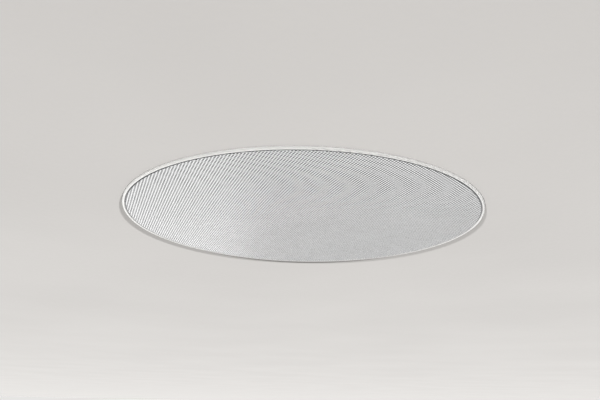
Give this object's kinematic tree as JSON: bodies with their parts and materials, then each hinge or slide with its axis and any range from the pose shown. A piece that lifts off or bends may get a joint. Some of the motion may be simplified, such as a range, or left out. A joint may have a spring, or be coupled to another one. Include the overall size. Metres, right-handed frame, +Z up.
{
  "type": "in-ceiling speaker",
  "caption": "Flush round in-ceiling speaker: white perforated grille in a thin bezel, two-way driver, crossover and swing-out clamp dogs that grip the ceiling board.",
  "frame": {"origin": "on the speaker's axis, in the plane of the ceiling's underside that the bezel rests against", "axes": "+Z up into the ceiling void along the cut-out's axis; the grille faces -Z; +X towards the terminals"},
  "size_m": [0.23, 0.23, 0.084],
  "materials": {
    "white_enamel": "white moulded plastic, satin",
    "grille_enamel": "white powder coat, satin, on perforated steel sheet",
    "magnet_nickel": "bright nickel plate",
    "black_abs": "black moulded plastic, fine texture",
    "foam": "black foam gasket",
    "black_steel": "black satin enamel on pressed steel",
    "black_screw": "black oxide steel",
    "surround_rubber": "matt black butyl rubber",
    "cone_poly": "black polypropylene, faint sheen",
    "spider_cloth": "resin-dipped cloth, amber",
    "former_paper": "brown former film",
    "copper": "enamelled copper wire",
    "plated_steel": "zinc-plated steel, brushed",
    "ferrite": "dark grey sintered ferrite, ground faces",
    "neodymium": "nickel-plated magnet",
    "silk": "black coated silk",
    "board": "green solder mask on glass-fibre board",
    "capacitor_film": "yellow wrap with plain resin ends",
    "bobbin": "natural nylon",
    "ceramic": "white cement-filled ceramic",
    "terminal_black": "black moulded plastic",
    "lever_red": "red moulded plastic",
    "lever_black": "black moulded plastic",
    "spring_steel": "tin-plated spring strip",
    "phenolic": "brown phenolic board",
    "tinned_brass": "tin-plated brass",
    "dog_nylon": "black glass-filled nylon",
    "zinc_screw": "zinc-plated steel"
  },
  "bodies": {
    "speaker": {"bezel_ring": "white_enamel", "grille": "grille_enamel", "grille_magnets": "magnet_nickel", "chassis": "black_abs", "woofer_gasket": "foam", "woofer_basket": "black_steel", "basket_screws": "black_screw", "woofer_surround": "surround_rubber", "woofer_spider": "spider_cloth", "top_plate": "plated_steel", "ferrite_magnet": "ferrite", "pole_yoke": "plated_steel", "tweeter_post": "black_abs", "tweeter_cup": "plated_steel", "tweeter_magnet": "neodymium", "tweeter_pole_plate": "plated_steel", "tweeter_coil": "copper", "tweeter_dome": "silk", "tweeter_faceplate": "black_abs", "crossover_board": "board", "crossover_capacitor": "capacitor_film", "inductor_coil": "copper", "inductor_bobbin": "bobbin", "crossover_resistor": "ceramic", "terminal_block": "terminal_black", "contact_spring_red": "spring_steel", "contact_spring_black": "spring_steel", "tag_strip": "phenolic", "solder_lugs": "tinned_brass", "component_leads": "tinned_brass"},
    "cone_assembly": {"woofer_cone": "cone_poly", "voice_coil_former": "former_paper", "voice_coil": "copper"},
    "lever_red": {"terminal_lever_red": "lever_red"},
    "lever_black": {"terminal_lever_black": "lever_black"},
    "screw_1": {"dog_screw_1": "zinc_screw"},
    "dog_1": {"mounting_dog_1": "dog_nylon"},
    "screw_2": {"dog_screw_2": "zinc_screw"},
    "dog_2": {"mounting_dog_2": "dog_nylon"},
    "screw_3": {"dog_screw_3": "zinc_screw"},
    "dog_3": {"mounting_dog_3": "dog_nylon"},
    "screw_4": {"dog_screw_4": "zinc_screw"},
    "dog_4": {"mounting_dog_4": "dog_nylon"}
  },
  "joints": [
    {"name": "cone_travel", "type": "slide", "parent": "speaker", "child": "cone_assembly", "axis": [0, 0, 1], "range_m": [-0.004, 0.004], "stiffness_N_per_m": 1500, "deforming": ["woofer_surround", "woofer_spider"]},
    {"name": "lever_red_press", "type": "slide", "parent": "speaker", "child": "lever_red", "axis": [0, 0, -1], "range_m": [0, 0.003], "stiffness_N_per_m": 700, "deforming": ["contact_spring_red"]},
    {"name": "lever_black_press", "type": "slide", "parent": "speaker", "child": "lever_black", "axis": [0, 0, -1], "range_m": [0, 0.003], "stiffness_N_per_m": 700, "deforming": ["contact_spring_black"]},
    {"name": "dog_swing_1", "type": "hinge", "parent": "speaker", "child": "screw_1", "pos_m": [0.07347, 0.05537, 0], "axis": [0, 0, -1], "range_deg": [0, 90]},
    {"name": "dog_clamp_1", "type": "slide", "parent": "screw_1", "child": "dog_1", "axis": [0, 0, -1], "range_m": [0, 0.0285]},
    {"name": "dog_swing_2", "type": "hinge", "parent": "speaker", "child": "screw_2", "pos_m": [-0.05537, 0.07347, 0], "axis": [0, 0, -1], "range_deg": [0, 90]},
    {"name": "dog_clamp_2", "type": "slide", "parent": "screw_2", "child": "dog_2", "axis": [0, 0, -1], "range_m": [0, 0.0285]},
    {"name": "dog_swing_3", "type": "hinge", "parent": "speaker", "child": "screw_3", "pos_m": [-0.07347, -0.05537, 0], "axis": [0, 0, -1], "range_deg": [0, 90]},
    {"name": "dog_clamp_3", "type": "slide", "parent": "screw_3", "child": "dog_3", "axis": [0, 0, -1], "range_m": [0, 0.0285]},
    {"name": "dog_swing_4", "type": "hinge", "parent": "speaker", "child": "screw_4", "pos_m": [0.05537, -0.07347, 0], "axis": [0, 0, -1], "range_deg": [0, 90]},
    {"name": "dog_clamp_4", "type": "slide", "parent": "screw_4", "child": "dog_4", "axis": [0, 0, -1], "range_m": [0, 0.0285]}
  ]
}
